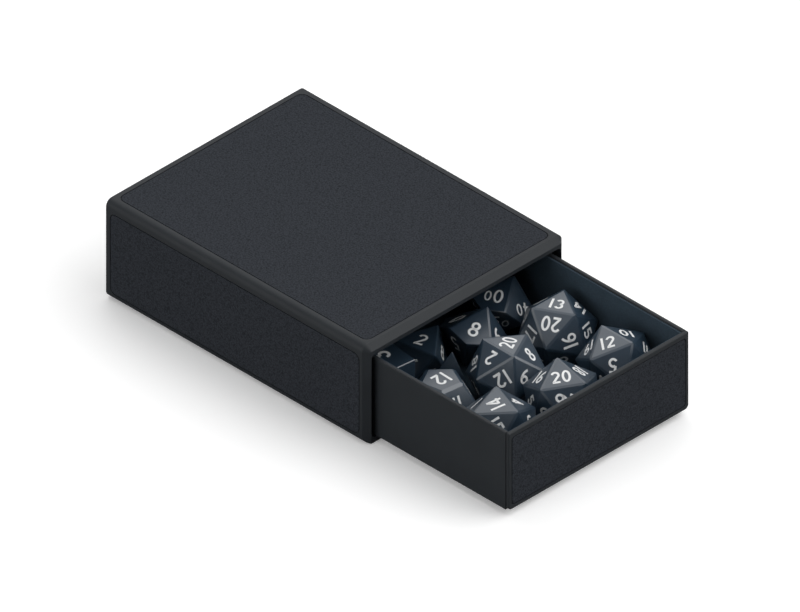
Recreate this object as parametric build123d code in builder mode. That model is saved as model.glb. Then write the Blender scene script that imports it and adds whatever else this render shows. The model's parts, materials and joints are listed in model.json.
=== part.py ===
from build123d import *
from itertools import combinations, product
from math import cos, radians, sin
import os

os.makedirs("parts", exist_ok=True)

# A sleeve lies on its bottom board with its mouth toward -Y. The drawer slides out of the mouth along -Y.
# The origin is the middle of the sleeve's underside.

# Sleeve
sleeve_width = 82.0
sleeve_length = 107.2
sleeve_height = 34.4
sleeve_side_board = 2.0
sleeve_top_board = 3.2
sleeve_bottom_board = 1.6
sleeve_back_board = 2.0
sleeve_edge_round = 2.3
mouth_bevel = 1.9
mouth_corner_round = 1.6

# Textured panels let into the boards
panel_depth = 0.5
panel_groove = 0.28
panel_corner_round = 2.4
panel_mouth_margin = 3.0
panel_back_margin = 1.6
top_panel_side_margin = 3.0
side_panel_top_margin = 3.5
side_panel_bottom_margin = 2.4
back_panel_margin = 1.5

# Fit of the drawer in the sleeve, and how far it stands open
drawer_side_gap = 1.95
drawer_top_gap = 2.0
drawer_under_gap = 0.37
drawer_back_gap = 1.2
drawer_pulled_out = 54.45

# Drawer
drawer_wall = 1.3
drawer_front_board = 1.35
drawer_floor_board = 2.1
drawer_rim_round = 0.4
drawer_front_corner_round = 1.6
drawer_seam_bevel = 0.3
front_panel_side_margin = 1.2
front_panel_bottom_margin = 1.5
front_panel_top_margin = 1.6
front_panel_corner_round = 1.2
lining_thickness = 0.5
lining_below_rim = 0.6

# Dice, measured across opposite faces. The four-sided one is measured along an edge.
die_20_across = 20.34
die_12_across = 17.8
die_10_across = 14.2
die_8_across = 13.0
die_6_across = 15.0
die_4_edge = 19.0
die_10_face_lean = 43.0
die_edge_bevel = 0.15
die_12_edge_bevel = 0.4
die_rest_gap = 0.02
dice_bed_width = 70.5

# Worked out from the sizes above
opening_width = sleeve_width - 2 * sleeve_side_board
opening_height = sleeve_height - sleeve_top_board - sleeve_bottom_board
opening_middle = sleeve_bottom_board + opening_height / 2
mouth_y = -sleeve_length / 2
sleeve_end_y = sleeve_length / 2
mouth_plane = Plane.XZ.offset(-mouth_y)

drawer_width = opening_width - 2 * drawer_side_gap
drawer_height = opening_height - drawer_top_gap - drawer_under_gap
drawer_length = sleeve_length - sleeve_back_board - drawer_back_gap
drawer_under = sleeve_bottom_board + drawer_under_gap
drawer_front_y = mouth_y - drawer_pulled_out
drawer_box_y = drawer_front_y + drawer_front_board
drawer_rear_y = drawer_front_y + drawer_length
drawer_box_length = drawer_rear_y - drawer_box_y
drawer_box_middle = (drawer_rear_y + drawer_box_y) / 2
drawer_front_plane = Plane.XZ.offset(-drawer_front_y)

inside_width = drawer_width - 2 * drawer_wall
inside_length = drawer_box_length - drawer_wall
inside_middle = drawer_box_y + inside_length / 2
floor_top = drawer_under + drawer_floor_board
lining_height = drawer_height - drawer_floor_board - lining_below_rim
bed_top = floor_top + lining_thickness
bed_front_y = drawer_box_y + lining_thickness
dice_scale = min(1.0, (inside_width - 2 * lining_thickness) / dice_bed_width)
dice_spread = dice_scale * dice_bed_width


def keep(piece, label):
    piece.part.label = label
    export_step(piece.part, "parts/" + label + ".step")


# Form that bevels the mouth on its top and sides and leaves its bottom edge square
with BuildPart() as mouth_form:
    with BuildSketch(mouth_plane):
        with Locations((0, -mouth_bevel)):
            RectangleRounded(
                sleeve_width - 2 * mouth_bevel,
                2 * sleeve_height,
                sleeve_edge_round - mouth_bevel,
            )
    extrude(amount=-sleeve_length, taper=-45)

# Sleeve boards, each cut out of the sleeve's rounded section
with BuildPart() as sleeve_top:
    with BuildSketch(mouth_plane):
        with Locations((0, sleeve_height / 2)):
            RectangleRounded(sleeve_width, sleeve_height, sleeve_edge_round)
        with Locations((0, sleeve_height - sleeve_top_board / 2)):
            Rectangle(sleeve_width, sleeve_top_board, mode=Mode.INTERSECT)
    extrude(amount=-sleeve_length)
    add(mouth_form.part, mode=Mode.INTERSECT)
    top_panel_width = sleeve_width - 2 * top_panel_side_margin
    top_panel_length = sleeve_length - panel_mouth_margin - panel_back_margin
    top_panel_y = (panel_mouth_margin - panel_back_margin) / 2
    with BuildSketch(Plane.XY.offset(sleeve_height)):
        with Locations((0, top_panel_y)):
            RectangleRounded(top_panel_width, top_panel_length, panel_corner_round)
    extrude(amount=-panel_depth, mode=Mode.SUBTRACT)
keep(sleeve_top, "sleeve_top")

with BuildPart() as sleeve_bottom:
    with BuildSketch(mouth_plane):
        with Locations((0, sleeve_height / 2)):
            RectangleRounded(sleeve_width, sleeve_height, sleeve_edge_round)
        with Locations((0, sleeve_bottom_board / 2)):
            Rectangle(sleeve_width, sleeve_bottom_board, mode=Mode.INTERSECT)
    extrude(amount=-sleeve_length)
    add(mouth_form.part, mode=Mode.INTERSECT)
keep(sleeve_bottom, "sleeve_bottom")

side_panel_length = sleeve_length - panel_mouth_margin - panel_back_margin
side_panel_height = sleeve_height - side_panel_top_margin - side_panel_bottom_margin
side_panel_middle = side_panel_bottom_margin + side_panel_height / 2

with BuildPart() as sleeve_left:
    with BuildSketch(mouth_plane):
        with Locations((0, sleeve_height / 2)):
            RectangleRounded(sleeve_width, sleeve_height, sleeve_edge_round)
        with Locations((0, opening_middle)):
            RectangleRounded(opening_width, opening_height, mouth_corner_round, mode=Mode.SUBTRACT)
        with Locations((-sleeve_width / 4, opening_middle)):
            Rectangle(sleeve_width / 2, opening_height, mode=Mode.INTERSECT)
    extrude(amount=-sleeve_length)
    add(mouth_form.part, mode=Mode.INTERSECT)
    with BuildSketch(Plane.YZ.offset(-sleeve_width / 2)):
        with Locations((top_panel_y, side_panel_middle)):
            RectangleRounded(side_panel_length, side_panel_height, panel_corner_round)
    extrude(amount=panel_depth, mode=Mode.SUBTRACT)
keep(sleeve_left, "sleeve_left")

with BuildPart() as sleeve_right:
    add(sleeve_left.part)
    mirror(about=Plane.YZ, mode=Mode.REPLACE)
keep(sleeve_right, "sleeve_right")

back_plane = Plane.XZ.offset(-sleeve_end_y)
with BuildPart() as sleeve_back:
    with BuildSketch(back_plane):
        with Locations((0, opening_middle)):
            RectangleRounded(opening_width, opening_height, mouth_corner_round)
    extrude(amount=sleeve_back_board)
    with BuildSketch(back_plane):
        with Locations((0, opening_middle)):
            RectangleRounded(
                opening_width - 2 * back_panel_margin,
                opening_height - 2 * back_panel_margin,
                panel_corner_round,
            )
    extrude(amount=panel_depth, mode=Mode.SUBTRACT)
keep(sleeve_back, "sleeve_back")

# Textured panels of the sleeve
with BuildPart() as panel_top:
    with BuildSketch(Plane.XY.offset(sleeve_height - panel_depth)):
        with Locations((0, top_panel_y)):
            RectangleRounded(
                top_panel_width - 2 * panel_groove,
                top_panel_length - 2 * panel_groove,
                panel_corner_round - panel_groove,
            )
    extrude(amount=panel_depth)
keep(panel_top, "panel_top")

with BuildPart() as panel_left:
    with BuildSketch(Plane.YZ.offset(-sleeve_width / 2)):
        with Locations((top_panel_y, side_panel_middle)):
            RectangleRounded(
                side_panel_length - 2 * panel_groove,
                side_panel_height - 2 * panel_groove,
                panel_corner_round - panel_groove,
            )
    extrude(amount=panel_depth)
keep(panel_left, "panel_left")

with BuildPart() as panel_right:
    add(panel_left.part)
    mirror(about=Plane.YZ, mode=Mode.REPLACE)
keep(panel_right, "panel_right")

with BuildPart() as panel_back:
    with BuildSketch(back_plane):
        with Locations((0, opening_middle)):
            RectangleRounded(
                opening_width - 2 * (back_panel_margin + panel_groove),
                opening_height - 2 * (back_panel_margin + panel_groove),
                panel_corner_round - panel_groove,
            )
    extrude(amount=panel_depth)
keep(panel_back, "panel_back")

# Drawer boards
front_panel_width = drawer_width - 2 * front_panel_side_margin
front_panel_height = drawer_height - front_panel_top_margin - front_panel_bottom_margin
front_panel_middle = drawer_under + front_panel_bottom_margin + front_panel_height / 2

with BuildPart() as drawer_front:
    with BuildSketch(drawer_front_plane) as front_outline:
        with Locations((0, drawer_under + drawer_height / 2)):
            Rectangle(drawer_width, drawer_height)
        fillet(front_outline.vertices().group_by(Axis.Y)[0], drawer_front_corner_round)
    extrude(amount=-drawer_front_board)
    fillet(drawer_front.edges().group_by(Axis.Z)[-1].filter_by(Axis.X), drawer_rim_round)
    chamfer(drawer_front.edges().filter_by(Axis.Z).group_by(Axis.Y)[-1], drawer_seam_bevel)
    with BuildSketch(drawer_front_plane):
        with Locations((0, front_panel_middle)):
            RectangleRounded(front_panel_width, front_panel_height, front_panel_corner_round)
    extrude(amount=-panel_depth, mode=Mode.SUBTRACT)
keep(drawer_front, "drawer_front")

with BuildPart() as panel_drawer_front:
    with BuildSketch(drawer_front_plane):
        with Locations((0, front_panel_middle)):
            RectangleRounded(
                front_panel_width - 2 * panel_groove,
                front_panel_height - 2 * panel_groove,
                front_panel_corner_round - panel_groove,
            )
    extrude(amount=-panel_depth)
keep(panel_drawer_front, "panel_drawer_front")

with BuildPart() as drawer_left:
    with BuildSketch(Plane.XY.offset(drawer_under)):
        with Locations((-(drawer_width - drawer_wall) / 2, drawer_box_middle)):
            Rectangle(drawer_wall, drawer_box_length)
    extrude(amount=drawer_height)
    fillet(drawer_left.edges().group_by(Axis.Z)[-1].filter_by(Axis.Y), drawer_rim_round)
keep(drawer_left, "drawer_left")

with BuildPart() as drawer_right:
    add(drawer_left.part)
    mirror(about=Plane.YZ, mode=Mode.REPLACE)
keep(drawer_right, "drawer_right")

with BuildPart() as drawer_rear:
    with BuildSketch(Plane.XY.offset(drawer_under)):
        with Locations((0, drawer_rear_y - drawer_wall / 2)):
            Rectangle(inside_width, drawer_wall)
    extrude(amount=drawer_height)
    fillet(drawer_rear.edges().group_by(Axis.Z)[-1].filter_by(Axis.X), drawer_rim_round)
keep(drawer_rear, "drawer_rear")

with BuildPart() as drawer_floor:
    with BuildSketch(Plane.XY.offset(drawer_under)):
        with Locations((0, inside_middle)):
            Rectangle(inside_width, inside_length)
    extrude(amount=drawer_floor_board)
keep(drawer_floor, "drawer_floor")

# Soft lining of the drawer
with BuildPart() as lining_left:
    with BuildSketch(Plane.XY.offset(floor_top)):
        with Locations((-(inside_width - lining_thickness) / 2, inside_middle)):
            Rectangle(lining_thickness, inside_length)
    extrude(amount=lining_height)
keep(lining_left, "lining_left")

with BuildPart() as lining_right:
    add(lining_left.part)
    mirror(about=Plane.YZ, mode=Mode.REPLACE)
keep(lining_right, "lining_right")

bed_width = inside_width - 2 * lining_thickness
with BuildPart() as lining_front:
    with BuildSketch(Plane.XY.offset(floor_top)):
        with Locations((0, drawer_box_y + lining_thickness / 2)):
            Rectangle(bed_width, lining_thickness)
    extrude(amount=lining_height)
keep(lining_front, "lining_front")

with BuildPart() as lining_rear:
    with BuildSketch(Plane.XY.offset(floor_top)):
        with Locations((0, drawer_rear_y - drawer_wall - lining_thickness / 2)):
            Rectangle(bed_width, lining_thickness)
    extrude(amount=lining_height)
keep(lining_rear, "lining_rear")

with BuildPart() as lining_floor:
    with BuildSketch(Plane.XY.offset(floor_top)):
        with Locations((0, inside_middle)):
            Rectangle(bed_width, inside_length - 2 * lining_thickness)
    extrude(amount=lining_thickness)
keep(lining_floor, "lining_floor")


# Dice: the directions that the faces of each kind look in
def three_ways(a, b):
    found = []
    for p, q in product((-a, a), (-b, b)):
        found += [Vector(0, p, q), Vector(p, q, 0), Vector(q, 0, p)]
    return found


golden = (1 + 5**0.5) / 2
corners = [Vector(*signs) for signs in product((-1, 1), repeat=3)]
faces_20 = corners + three_ways(golden, 1 / golden)
faces_12 = three_ways(golden, 1)
faces_8 = corners
faces_6 = [Vector(1, 0, 0), Vector(0, 1, 0), Vector(0, 0, 1)]
faces_6 += [-face for face in faces_6]
faces_4 = [face for face in corners if face.X * face.Y * face.Z < 0]
lean = radians(die_10_face_lean)
faces_10 = []
for step in range(10):
    around = radians(36 * step)
    up = 1 if step % 2 == 0 else -1
    faces_10.append(Vector(sin(lean) * cos(around), sin(lean) * sin(around), up * cos(lean)))


def die_blank(faces, across, bevel, touching):
    """Cut a die out of a block. Faces whose directions have a dot product above touching meet at an edge or tip."""
    reach = dice_scale * across / 2
    looks = [face.normalized() for face in faces]
    with BuildPart() as blank:
        Box(5 * reach, 5 * reach, 5 * reach)
        for look in looks:
            split(bisect_by=Plane(look * reach, z_dir=look), keep=Keep.BOTTOM)
        for one, other in combinations(looks, 2):
            if one.dot(other) > touching:
                between = one + other
                far = 2 * reach / between.length - bevel
                between = between.normalized()
                split(bisect_by=Plane(between * far, z_dir=between), keep=Keep.BOTTOM)
    return blank.part


blank_20 = die_blank(faces_20, die_20_across, die_edge_bevel, 0.3)
blank_12 = die_blank(faces_12, die_12_across, die_12_edge_bevel, 0.4)
blank_10 = die_blank(faces_10, die_10_across, die_edge_bevel, -0.2)
blank_8 = die_blank(faces_8, die_8_across, die_edge_bevel, -0.4)
blank_6 = die_blank(faces_6, die_6_across, die_edge_bevel, -0.1)
blank_4 = die_blank(faces_4, die_4_edge / 6**0.5, die_edge_bevel, -0.4)

# Where each die lies: from the drawer's middle line and from the inside of its front, both in shares of the
# dice bed's width, and how it has rolled
lying = [
    ("die_20_a", blank_20, 0.341, 0.560, (-168, -54, -31)),
    ("die_20_b", blank_20, -0.013, 0.498, (124, -10, -133)),
    ("die_20_c", blank_20, 0.339, 0.207, (158, -32, -68)),
    ("die_20_d", blank_20, -0.001, 0.181, (170, -40, -66)),
    ("die_20_e", blank_20, -0.333, 0.225, (176, -45, -52)),
    ("die_12", blank_12, -0.342, 0.553, (90, -25, -122)),
    ("die_10", blank_10, 0.114, 0.803, (-1.6, 30.5, -152.4)),
    ("die_10_tens", blank_10, 0.347, 0.881, (1, 29.3, -173.5)),
    ("die_8", blank_8, -0.131, 0.878, (133.4, 32.8, -162.2)),
    ("die_6", blank_6, -0.371, 0.884, (0, 0, -6)),
    ("die_4", blank_4, -0.135, 0.695, (-34, -46, -88)),
]
for label, blank, across, back, turn in lying:
    lowest = blank.moved(Location((0, 0, 0), turn)).bounding_box().min.Z
    spot = (dice_spread * across, bed_front_y + dice_spread * back, bed_top + die_rest_gap - lowest)
    with BuildPart() as die:
        with Locations(Location(spot, turn)):
            add(blank)
    keep(die, label)
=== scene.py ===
import json
import math

import bpy
from mathutils import Matrix, Vector

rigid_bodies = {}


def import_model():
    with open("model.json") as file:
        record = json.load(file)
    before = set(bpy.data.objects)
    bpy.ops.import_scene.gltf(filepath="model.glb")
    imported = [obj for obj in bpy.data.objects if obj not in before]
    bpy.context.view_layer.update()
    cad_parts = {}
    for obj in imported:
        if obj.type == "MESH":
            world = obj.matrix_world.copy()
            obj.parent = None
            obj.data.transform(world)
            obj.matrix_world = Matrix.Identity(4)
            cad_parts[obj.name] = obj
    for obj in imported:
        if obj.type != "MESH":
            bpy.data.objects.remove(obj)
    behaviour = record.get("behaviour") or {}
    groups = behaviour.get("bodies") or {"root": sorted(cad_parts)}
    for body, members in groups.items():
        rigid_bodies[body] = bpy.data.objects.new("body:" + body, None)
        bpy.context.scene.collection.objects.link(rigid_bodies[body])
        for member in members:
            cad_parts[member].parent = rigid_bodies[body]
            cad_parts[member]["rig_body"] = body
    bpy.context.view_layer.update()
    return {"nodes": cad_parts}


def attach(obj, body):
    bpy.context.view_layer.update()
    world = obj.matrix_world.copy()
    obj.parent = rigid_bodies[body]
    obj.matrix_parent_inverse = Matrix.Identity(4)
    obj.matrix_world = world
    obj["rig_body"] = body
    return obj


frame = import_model()
nodes = frame["nodes"]

MM = 0.001
# A Mix node's sockets share their names between data types, so they are set by number
SHARE = 0
NUMBER_A, NUMBER_B = 2, 3
COLOUR_A, COLOUR_B, COLOUR_OUT = 6, 7, 2


def colour(text):
    """sRGB hex to the linear colour that a shader socket takes."""
    parts = [int(text[i:i + 2], 16) / 255 for i in (1, 3, 5)]
    linear = [p / 12.92 if p <= 0.04045 else ((p + 0.055) / 1.055) ** 2.4 for p in parts]
    return (*linear, 1.0)


def put(tree, kind, inputs=(), **settings):
    """Adds a node to a tree. inputs pairs a socket with a value or with another node's output."""
    node = tree.nodes.new(kind)
    for name, value in settings.items():
        setattr(node, name, value)
    for socket, value in dict(inputs).items():
        if isinstance(value, bpy.types.NodeSocket):
            tree.links.new(value, node.inputs[socket])
        else:
            node.inputs[socket].default_value = value
    return node


def per_mm(size):
    """Texture scale for a feature this many millimetres across on Object coordinates in metres."""
    return 1 / (size * MM)


def new_material(name):
    material = bpy.data.materials.new(name)
    material.use_nodes = True
    material.node_tree.nodes.clear()
    return material, material.node_tree


# Smooth leatherette: polyurethane film rolled onto a backing and wrapped round board. Almost plain
# to the eye, with a faint cloudiness and a satin sheen along its edges.
def smooth_leatherette():
    material, tree = new_material("smooth_leatherette")
    place = put(tree, "ShaderNodeTexCoord").outputs["Object"]
    cloud = put(tree, "ShaderNodeTexNoise", {
        "Vector": place, "Scale": per_mm(9), "Detail": 4.0})
    grain = put(tree, "ShaderNodeTexNoise", {
        "Vector": place, "Scale": per_mm(0.35), "Detail": 2.0})
    tint = put(tree, "ShaderNodeMix", {
        SHARE: cloud.outputs["Fac"], COLOUR_A: colour("#1f2327"), COLOUR_B: colour("#272b2f")},
        data_type="RGBA")
    gloss = put(tree, "ShaderNodeMapRange", {
        "Value": grain.outputs["Fac"], "To Min": 0.48, "To Max": 0.6})
    relief = put(tree, "ShaderNodeBump", {
        "Height": grain.outputs["Fac"], "Strength": 0.12, "Distance": 0.05 * MM})
    shader = put(tree, "ShaderNodeBsdfPrincipled", {
        "Base Color": tint.outputs[COLOUR_OUT], "Roughness": gloss.outputs[0],
        "Normal": relief.outputs[0], "IOR": 1.48, "Specular IOR Level": 0.33})
    put(tree, "ShaderNodeOutputMaterial", {"Surface": shader.outputs[0]})
    return material


# Textured leatherette: the same film embossed with a fine irregular grain. The eye reads it as a
# felt-like speckle. The grain is drawn 0.45 mm across, about twice its real size, so that it shows
# in the picture.
def textured_leatherette():
    material, tree = new_material("textured_leatherette")
    place = put(tree, "ShaderNodeTexCoord").outputs["Object"]
    pebbles = put(tree, "ShaderNodeTexVoronoi", {
        "Vector": place, "Scale": per_mm(0.45)}, feature="SMOOTH_F1")
    fibres = put(tree, "ShaderNodeTexNoise", {
        "Vector": place, "Scale": per_mm(0.32), "Detail": 3.0, "Roughness": 0.7})
    speck = put(tree, "ShaderNodeMath", {
        0: pebbles.outputs["Distance"], 1: fibres.outputs["Fac"]}, operation="MULTIPLY")
    shade = put(tree, "ShaderNodeMapRange", {
        "Value": speck.outputs[0], "From Min": 0.08, "From Max": 0.38})
    tint = put(tree, "ShaderNodeMix", {
        SHARE: shade.outputs[0], COLOUR_A: colour("#383b41"), COLOUR_B: colour("#25282c")},
        data_type="RGBA")
    relief = put(tree, "ShaderNodeBump", {
        "Height": speck.outputs[0], "Strength": 0.5, "Distance": 0.08 * MM}, invert=True)
    shader = put(tree, "ShaderNodeBsdfPrincipled", {
        "Base Color": tint.outputs[COLOUR_OUT], "Roughness": 0.72, "Normal": relief.outputs[0],
        "IOR": 1.48, "Specular IOR Level": 0.06})
    put(tree, "ShaderNodeOutputMaterial", {"Surface": shader.outputs[0]})
    return material


# Navy lining: flocked paper, a short standing nap on card. Deep and even, a little lighter where it
# is seen edge on.
def flocked_lining():
    material, tree = new_material("navy_flocked_lining")
    place = put(tree, "ShaderNodeTexCoord").outputs["Object"]
    nap = put(tree, "ShaderNodeTexNoise", {
        "Vector": place, "Scale": per_mm(0.5), "Detail": 3.0})
    wear = put(tree, "ShaderNodeTexNoise", {
        "Vector": place, "Scale": per_mm(14), "Detail": 3.0})
    blend = put(tree, "ShaderNodeMath", {
        0: nap.outputs["Fac"], 1: wear.outputs["Fac"]}, operation="MULTIPLY")
    shade = put(tree, "ShaderNodeMapRange", {
        "Value": blend.outputs[0], "From Min": 0.1, "From Max": 0.42})
    tint = put(tree, "ShaderNodeMix", {
        SHARE: shade.outputs[0], COLOUR_A: colour("#263440"), COLOUR_B: colour("#32434f")},
        data_type="RGBA")
    relief = put(tree, "ShaderNodeBump", {
        "Height": nap.outputs["Fac"], "Strength": 0.3, "Distance": 0.06 * MM})
    shader = put(tree, "ShaderNodeBsdfPrincipled", {
        "Base Color": tint.outputs[COLOUR_OUT], "Roughness": 0.92, "Normal": relief.outputs[0],
        "Sheen Weight": 0.15, "Sheen Roughness": 0.5, "Sheen Tint": colour("#8fa6b8")})
    put(tree, "ShaderNodeOutputMaterial", {"Surface": shader.outputs[0]})
    return material


# Slate resin: cast and tumbled, then left satin. Dark blue-grey with a broad soft sheen on the
# faces that look up.
def slate_resin():
    material, tree = new_material("slate_cast_resin")
    place = put(tree, "ShaderNodeTexCoord").outputs["Object"]
    swirl = put(tree, "ShaderNodeTexNoise", {
        "Vector": place, "Scale": per_mm(7), "Detail": 3.0, "Distortion": 0.6})
    rub = put(tree, "ShaderNodeTexNoise", {
        "Vector": place, "Scale": per_mm(0.4), "Detail": 2.0})
    tint = put(tree, "ShaderNodeMix", {
        SHARE: swirl.outputs["Fac"], COLOUR_A: colour("#22313f"), COLOUR_B: colour("#2c3d4c")},
        data_type="RGBA")
    gloss = put(tree, "ShaderNodeMapRange", {
        "Value": rub.outputs["Fac"], "To Min": 0.26, "To Max": 0.36})
    shader = put(tree, "ShaderNodeBsdfPrincipled", {
        "Base Color": tint.outputs[COLOUR_OUT], "Roughness": gloss.outputs[0],
        "IOR": 1.6, "Specular IOR Level": 0.94})
    put(tree, "ShaderNodeOutputMaterial", {"Surface": shader.outputs[0]})
    return material


# White number paint: acrylic wiped into the engraved figures. Matt, a little uneven.
def number_paint():
    material, tree = new_material("white_number_paint")
    place = put(tree, "ShaderNodeTexCoord").outputs["Object"]
    wipe = put(tree, "ShaderNodeTexNoise", {
        "Vector": place, "Scale": per_mm(1.5), "Detail": 3.0})
    tint = put(tree, "ShaderNodeMix", {
        SHARE: wipe.outputs["Fac"], COLOUR_A: colour("#e4e6e8"), COLOUR_B: colour("#f6f6f4")},
        data_type="RGBA")
    shader = put(tree, "ShaderNodeBsdfPrincipled", {
        "Base Color": tint.outputs[COLOUR_OUT], "Roughness": 0.55})
    put(tree, "ShaderNodeOutputMaterial", {"Surface": shader.outputs[0]})
    return material


smooth = smooth_leatherette()
textured = textured_leatherette()
lining = flocked_lining()
resin = slate_resin()
paint = number_paint()

for name, node in nodes.items():
    node.data.materials.clear()
    kind = name.split("_")[0]
    finish = {"die": resin, "lining": lining, "panel": textured}.get(kind, smooth)
    node.data.materials.append(finish)


# Figures of the dice. Each stroke runs along a path in a box one unit high, then takes its width
# from Geometry Nodes.
def arc(x, y, across, up, start, end, steps=18):
    turn = [math.radians(start + (end - start) * i / steps) for i in range(steps + 1)]
    return [(x + across * math.cos(t), y + up * math.sin(t)) for t in turn]


def ring(x, y, across, up):
    return arc(x, y, across, up, 90, -270, 28)


STROKES = {
    "0": [ring(0.29, 0.5, 0.21, 0.42)],
    "1": [[(0.09, 0.0), (0.09, 1.0)]],
    "2": [arc(0.28, 0.7, 0.21, 0.215, 165, -28) + [(0.09, 0.1)], [(0.03, 0.085), (0.53, 0.085)]],
    "3": [arc(0.26, 0.71, 0.19, 0.205, 155, -80), arc(0.26, 0.3, 0.21, 0.215, 80, -155)],
    "4": [[(0.41, 0.0), (0.41, 1.0)], [(0.41, 0.93), (0.06, 0.3)], [(0.02, 0.27), (0.56, 0.27)]],
    "5": [[(0.49, 0.915), (0.13, 0.915)], [(0.15, 0.97), (0.11, 0.5)],
          arc(0.27, 0.32, 0.22, 0.235, 130, -150)],
    "6": [ring(0.29, 0.3, 0.21, 0.215), arc(0.62, 0.36, 0.54, 0.62, 180, 112)],
    "7": [[(0.03, 0.915), (0.52, 0.915)], [(0.46, 0.94), (0.19, 0.0)]],
    "8": [ring(0.29, 0.725, 0.175, 0.19), ring(0.29, 0.295, 0.21, 0.21)],
    "9": [ring(0.29, 0.7, 0.21, 0.215), arc(-0.04, 0.64, 0.54, 0.62, 0, -68)],
    ".": [[(0.09, 0.0), (0.09, 0.17)]],
}
# How far the next figure starts from this one, and how thick the paint is, for a figure's height
ADVANCE = {"1": 0.34, ".": 0.28}
OTHER_ADVANCE = 0.67
STROKE_DEPTH = 0.016
# Ends of a path this near to each other close it
CLOSED_WITHIN = 1e-4
# Polygons belong to one face where their normals agree this far
SAME_WAY = 0.9995


def stroke_tree():
    tree = bpy.data.node_groups.new("number_strokes", "GeometryNodeTree")
    for socket, kind in (("Geometry", "NodeSocketGeometry"), ("Stroke Width", "NodeSocketFloat"),
                         ("Stroke Depth", "NodeSocketFloat"), ("Paint", "NodeSocketMaterial")):
        tree.interface.new_socket(socket, in_out="INPUT", socket_type=kind)
    tree.interface.new_socket("Geometry", in_out="OUTPUT", socket_type="NodeSocketGeometry")
    given = put(tree, "NodeGroupInput").outputs
    section = put(tree, "GeometryNodeCurvePrimitiveQuadrilateral", {
        "Width": given["Stroke Width"], "Height": given["Stroke Depth"]})
    level = put(tree, "GeometryNodeSetCurveNormal", {"Curve": given["Geometry"]}, mode="Z_UP")
    strokes = put(tree, "GeometryNodeCurveToMesh", {
        "Curve": level.outputs[0], "Profile Curve": section.outputs[0], "Fill Caps": True})
    real = put(tree, "GeometryNodeRealizeInstances", {"Geometry": strokes.outputs[0]})
    painted = put(tree, "GeometryNodeSetMaterial", {
        "Geometry": real.outputs[0], "Material": given["Paint"]})
    put(tree, "NodeGroupOutput", {"Geometry": painted.outputs[0]})
    return tree


def figure_mesh(tree, figure, weight):
    """One figure as a mesh a unit high that lies in the XY plane, its strokes as wide as weight."""
    curve = bpy.data.curves.new("figure_" + figure, "CURVE")
    curve.dimensions = "3D"
    for path in STROKES[figure]:
        closed = (Vector(path[0]) - Vector(path[-1])).length < CLOSED_WITHIN
        points = path[:-1] if closed else path
        spline = curve.splines.new("POLY")
        spline.points.add(len(points) - 1)
        spline.use_cyclic_u = closed
        for point, (x, y) in zip(spline.points, points):
            point.co = (x, y, 0, 1)
    holder = bpy.data.objects.new("figure_" + figure, curve)
    bpy.context.scene.collection.objects.link(holder)
    modifier = holder.modifiers.new("strokes", "NODES")
    modifier.node_group = tree
    items = tree.interface.items_tree
    sockets = {item.name: item.identifier for item in items if item.in_out == "INPUT"}
    modifier[sockets["Stroke Width"]] = weight
    modifier[sockets["Stroke Depth"]] = STROKE_DEPTH
    modifier[sockets["Paint"]] = paint
    bpy.context.view_layer.update()
    built = holder.evaluated_get(bpy.context.evaluated_depsgraph_get())
    mesh = bpy.data.meshes.new_from_object(built)
    bpy.data.objects.remove(holder)
    return mesh


def direction(azimuth, elevation):
    a, e = math.radians(azimuth), math.radians(elevation)
    return Vector((math.cos(e) * math.cos(a), math.cos(e) * math.sin(a), math.sin(e)))


def die_faces(mesh, count):
    """The die's numbered faces, highest first: each one's middle, the way it looks, its corners."""
    groups = []
    for polygon in mesh.polygons:
        for group in groups:
            if group["look"].dot(polygon.normal) > SAME_WAY:
                break
        else:
            group = {"look": polygon.normal.copy(), "area": 0.0, "sum": Vector(), "corners": []}
            groups.append(group)
        group["area"] += polygon.area
        group["sum"] += polygon.center * polygon.area
        group["corners"] += [mesh.vertices[v].co.copy() for v in polygon.vertices]
    groups = sorted(groups, key=lambda g: -g["area"])[:count]
    for group in groups:
        group["middle"] = group["sum"] / group["area"]
    return sorted(groups, key=lambda g: -g["look"].z)


def written(figures, text, height, second):
    """Points and faces of a text centred on the origin in the XY plane.

    second is how large its later figures are for the first.
    """
    points, faces, start, size = [], [], 0.0, 1.0
    for letter in text:
        base = len(points)
        points += [Vector((v.co.x * size + start, (v.co.y - 0.5) * size, v.co.z))
                   for v in figures[letter].vertices]
        faces += [[base + i for i in p.vertices] for p in figures[letter].polygons]
        start += ADVANCE.get(letter, OTHER_ADVANCE) * size
        size = second
    middle = (min(p.x for p in points) + max(p.x for p in points)) / 2
    return [Vector((p.x - middle, p.y, p.z)) * height for p in points], faces


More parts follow.
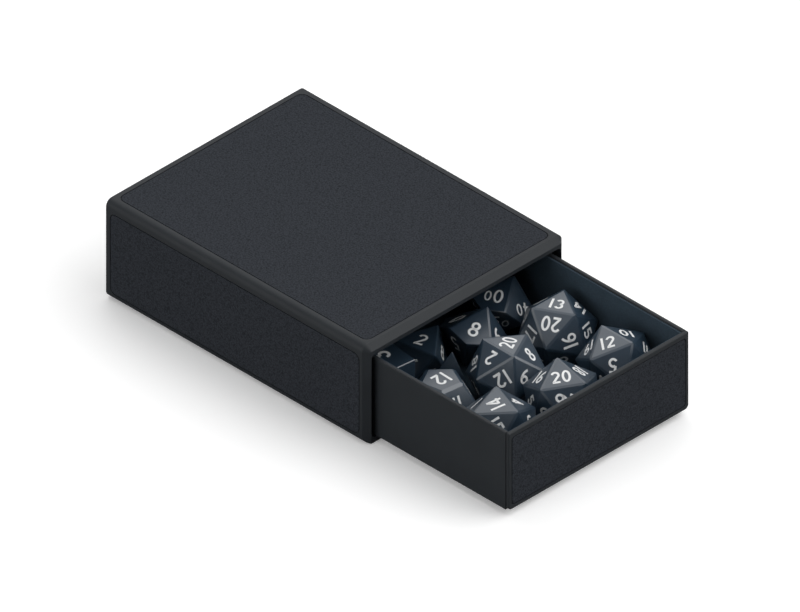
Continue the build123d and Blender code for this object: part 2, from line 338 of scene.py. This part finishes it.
# What shows in the photograph: the text, where its face looks (azimuth, elevation), where the
# text's top points and, where it isn't in the face's middle, how many millimetres it is moved up
# and to its right.
SEEN = {
    "die_20_a": [("13", -82, 89, 30, 0), ("20", -150, 48, -151, -42), ("16", -113, 19, 160, -7),
                 ("15", -68, 19, 19, -7), ("14", -31, 48, -144, 19), ("17", 172, 20, -100, -6)],
    "die_20_b": [("20", 15, 86, 118, 1), ("2", 177, 52, 179, -38), ("8", -57, 47, 105, 42),
                 ("12", -143, 23, -82, -48), ("18", 139, 22, 78, -50), ("6.", -98, 21, 25, 55)],
    "die_20_c": [("12", 174, 71, 53, 10), ("10", 2, 68, -120, 12),
                 ("5", -137, 38, -140, -51, 0.6, 1), ("19", 132, 35, -140, -3),
                 ("11", -45, 35, 48, 4)],
    "die_20_d": [("20", -149, 76, 54, 13), ("18", -20, 59, -72, -20),
                 ("9.", -131, 35, 125, 19, 0.7, 0.5), ("16", 129, 48, 2, 29)],
    "die_20_e": [("14", -169, 80, 162, -9), ("15", -142, 40, -27, 27), ("4", -24, 56, -14, -33)],
    "die_12": [("12", -25, 90, -92, 0), ("11", -97, 26, -98, -64)],
    "die_10": [("8", -117, 71, 21, 14), ("6.", -54, 36, 72, 39), ("0", 96, 60, -32, 20),
               ("5", 175, -17, -26, -72)],
    "die_10_tens": [("00", -158, 75, -146, -15), ("40", -71, 44, -123, -32, 1.4, -1)],
    "die_8": [("2", 29, 90, 18, 0), ("8", -48, 19, 45, 9)],
    "die_6": [("5", 0, 90, 137, 0, -0.4, 1.4)],
}
# The texts of each kind of die, their height in millimetres, the turn of a text from its face's far
# corner and how wide a stroke is for its height
SETS = {
    "die_20": ([str(n) for n in range(1, 21)], 4.6, 0, 0.155),
    "die_12": ([str(n) for n in range(1, 13)], 5.2, 0, 0.15),
    "die_10": ([str(n) for n in range(10)], 5.6, 0, 0.135),
    "die_10_tens": ([f"{n}0" for n in range(10)], 5.2, 180, 0.13),
    "die_8": ([str(n) for n in range(1, 9)], 5.4, 0, 0.13),
    "die_6": ([str(n) for n in range(1, 7)], 6.0, 45, 0.15),
}
# A die with more faces than this has a dot after its 6 and its 9
DOTS_ABOVE = 8
# The tens die's nought is smaller than the figure before it
TENS_NOUGHT = 0.74
number_tree = stroke_tree()


def number_piece(name, weight, marks):
    """One painted piece for a die.

    Each mark is a text, its height, its middle, the way it looks, its up and its second.
    """
    figures = {figure: figure_mesh(number_tree, figure, weight) for figure in STROKES}
    points, polygons = [], []
    for text, height, middle, look, up, second in marks:
        up = (up - look * up.dot(look)).normalized()
        turned = Matrix((up.cross(look), up, look)).transposed()
        flat, shapes = written(figures, text, height * MM, second)
        base = len(points)
        points += [middle + turned @ p for p in flat]
        polygons += [[base + v for v in shape] for shape in shapes]
    mesh = bpy.data.meshes.new(name + "_numbers")
    mesh.from_pydata(points, [], polygons)
    mesh.materials.append(paint)
    mesh.update()
    piece = bpy.data.objects.new(name + "_numbers", mesh)
    bpy.context.scene.collection.objects.link(piece)
    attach(piece, nodes[name]["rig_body"])


for name, seen in SEEN.items():
    texts, height, turn, weight = SETS[name if name in SETS else name[:-2]]
    dotted = ("6", "9") if len(texts) > DOTS_ABOVE else ()
    texts = [text + "." if text in dotted else text for text in texts]
    second = TENS_NOUGHT if name == "die_10_tens" else 1.0
    faces = die_faces(nodes[name].data, len(texts))
    given = {}
    for text, azimuth, elevation, up_azimuth, up_elevation, *shift in seen:
        look = direction(azimuth, elevation)
        best = max((i for i in range(len(faces)) if i not in given),
                   key=lambda i: faces[i]["look"].dot(look))
        given[best] = (text, direction(up_azimuth, up_elevation), shift or (0, 0))
    used = [text for text, up, shift in given.values()]
    left = [text for text in texts if text not in used]
    marks = []
    for i, face in enumerate(faces):
        away = [corner - face["middle"] for corner in face["corners"]]
        far = max(away, key=lambda way: way.length)
        far = Matrix.Rotation(math.radians(turn), 3, face["look"]) @ far
        text, up, shift = given[i] if i in given else (left.pop(0), far, (0, 0))
        middle = face["middle"] + (up * shift[0] + up.cross(face["look"]) * shift[1]) * MM
        marks.append((text, height, middle, face["look"], up, second))
    number_piece(name, weight, marks)

# The four-sided die has a number beside each edge of each face, the same one all round a foot.
# A foot is a corner far from its face's middle, and belongs to the faces whose plane it is near.
FOOT_REACH = 9 * MM
FOOT_APART = 5 * MM
FOOT_NEAR = 3 * MM
FOOT_NUMBER_HEIGHT = 3.2
FOOT_NUMBER_PLACE = 0.24
FOOT_NUMBER_WEIGHT = 0.15
foot_faces = die_faces(nodes["die_4"].data, 4)
feet = []
for face in foot_faces:
    for corner in face["corners"]:
        far = (corner - face["middle"]).length > FOOT_REACH
        if far and all((corner - foot).length > FOOT_APART for foot in feet):
            feet.append(corner)
marks = []
for face in foot_faces:
    for i, foot in enumerate(feet):
        away = foot - face["middle"]
        if abs(away.dot(face["look"])) < FOOT_NEAR:
            middle = face["middle"] - away * FOOT_NUMBER_PLACE
            marks.append((str(i + 1), FOOT_NUMBER_HEIGHT, middle, face["look"], away, 1.0))
number_piece("die_4", FOOT_NUMBER_WEIGHT, marks)

# Stage: a pale floor that is white to the camera and throws less light back up
FLOOR_REACH = 4
FLOOR_DROP = 0.0003
FLOOR_LIFT = 0.2
floor_mesh = bpy.data.meshes.new("floor")
floor_mesh.from_pydata([
    (-FLOOR_REACH, -FLOOR_REACH, -FLOOR_DROP), (FLOOR_REACH, -FLOOR_REACH, -FLOOR_DROP),
    (FLOOR_REACH, FLOOR_REACH, -FLOOR_DROP), (-FLOOR_REACH, FLOOR_REACH, -FLOOR_DROP)],
    [], [(0, 1, 2, 3)])
floor = bpy.data.objects.new("floor", floor_mesh)
bpy.context.scene.collection.objects.link(floor)
floor_paper, tree = new_material("pale_floor")
path = put(tree, "ShaderNodeLightPath").outputs
tint = put(tree, "ShaderNodeMix", {
    SHARE: path["Is Camera Ray"], COLOUR_A: colour("#9a9a9a"), COLOUR_B: colour("#ffffff")},
    data_type="RGBA")
lift = put(tree, "ShaderNodeMath", {
    0: path["Is Camera Ray"], 1: FLOOR_LIFT}, operation="MULTIPLY")
paper = put(tree, "ShaderNodeBsdfDiffuse", {"Color": tint.outputs[COLOUR_OUT]})
glow = put(tree, "ShaderNodeEmission", {"Strength": lift.outputs[0]})
shader = put(tree, "ShaderNodeAddShader", {0: paper.outputs[0], 1: glow.outputs[0]})
put(tree, "ShaderNodeOutputMaterial", {"Surface": shader.outputs[0]})
floor_mesh.materials.append(floor_paper)

# Light: an even studio tent, dark on the camera's side, low on the right and behind on the left,
# with soft boxes right, left and behind. A patch is the azimuth and elevation of its middle, the
# cosines where it starts and where it is full, and its power outside and inside.
LIGHT_PATCHES = (
    (-135, 15, 0.53, 0.92, 0.67, 0.02),
    (-47, 39, 0.65, 0.93, 0, 1.5),
    (176, 4, 0.75, 0.97, 0, 2.45),
    (56, 42, 0.78, 0.96, 0, 0.62),
    (-2, 8, 0.8, 0.95, 0, -0.9),
    (137, 33, 0.82, 0.97, 0, -0.62),
)
LEAST_POWER = 0.02
CAMERA_POWER = 1.0
world = bpy.data.worlds.new("studio")
bpy.context.scene.world = world
world.use_nodes = True
tree = world.node_tree
tree.nodes.clear()
way = put(tree, "ShaderNodeTexCoord").outputs["Generated"]
power = None
for azimuth, elevation, edge, full, outside, inside in LIGHT_PATCHES:
    toward = put(tree, "ShaderNodeVectorMath", {
        0: way, 1: direction(azimuth, elevation)}, operation="DOT_PRODUCT")
    patch = put(tree, "ShaderNodeMapRange", {
        "Value": toward.outputs["Value"], "From Min": edge, "From Max": full,
        "To Min": outside, "To Max": inside}, interpolation_type="SMOOTHSTEP").outputs[0]
    power = put(tree, "ShaderNodeMath", {0: power, 1: patch}).outputs[0] if power else patch
path = put(tree, "ShaderNodeLightPath").outputs
power = put(tree, "ShaderNodeMath", {0: power, 1: LEAST_POWER}, operation="MAXIMUM").outputs[0]
shown = put(tree, "ShaderNodeMix", {
    SHARE: path["Is Camera Ray"], NUMBER_A: power, NUMBER_B: CAMERA_POWER})
back = put(tree, "ShaderNodeBackground", {
    "Color": colour("#ffffff"), "Strength": shown.outputs[0]})
put(tree, "ShaderNodeOutputWorld", {"Surface": back.outputs[0]})

# Camera: a parallel view, 45 degrees round and 35 degrees up
VIEW_WIDTH = 0.23256
VIEW_MIDDLE = Vector((-0.00095, -0.02723, 0.017))
VIEW_FROM = direction(-135, 35)
VIEW_DISTANCE = 0.8
camera = bpy.data.cameras.new("camera")
camera.type = "ORTHO"
camera.ortho_scale = VIEW_WIDTH
camera.clip_start = 0.01
camera.clip_end = 20
camera_holder = bpy.data.objects.new("camera", camera)
camera_holder.location = VIEW_MIDDLE + VIEW_FROM * VIEW_DISTANCE
camera_holder.rotation_euler = (-VIEW_FROM).to_track_quat("-Z", "Y").to_euler()
bpy.context.scene.collection.objects.link(camera_holder)
bpy.context.scene.camera = camera_holder
bpy.context.scene.view_settings.view_transform = "Standard"
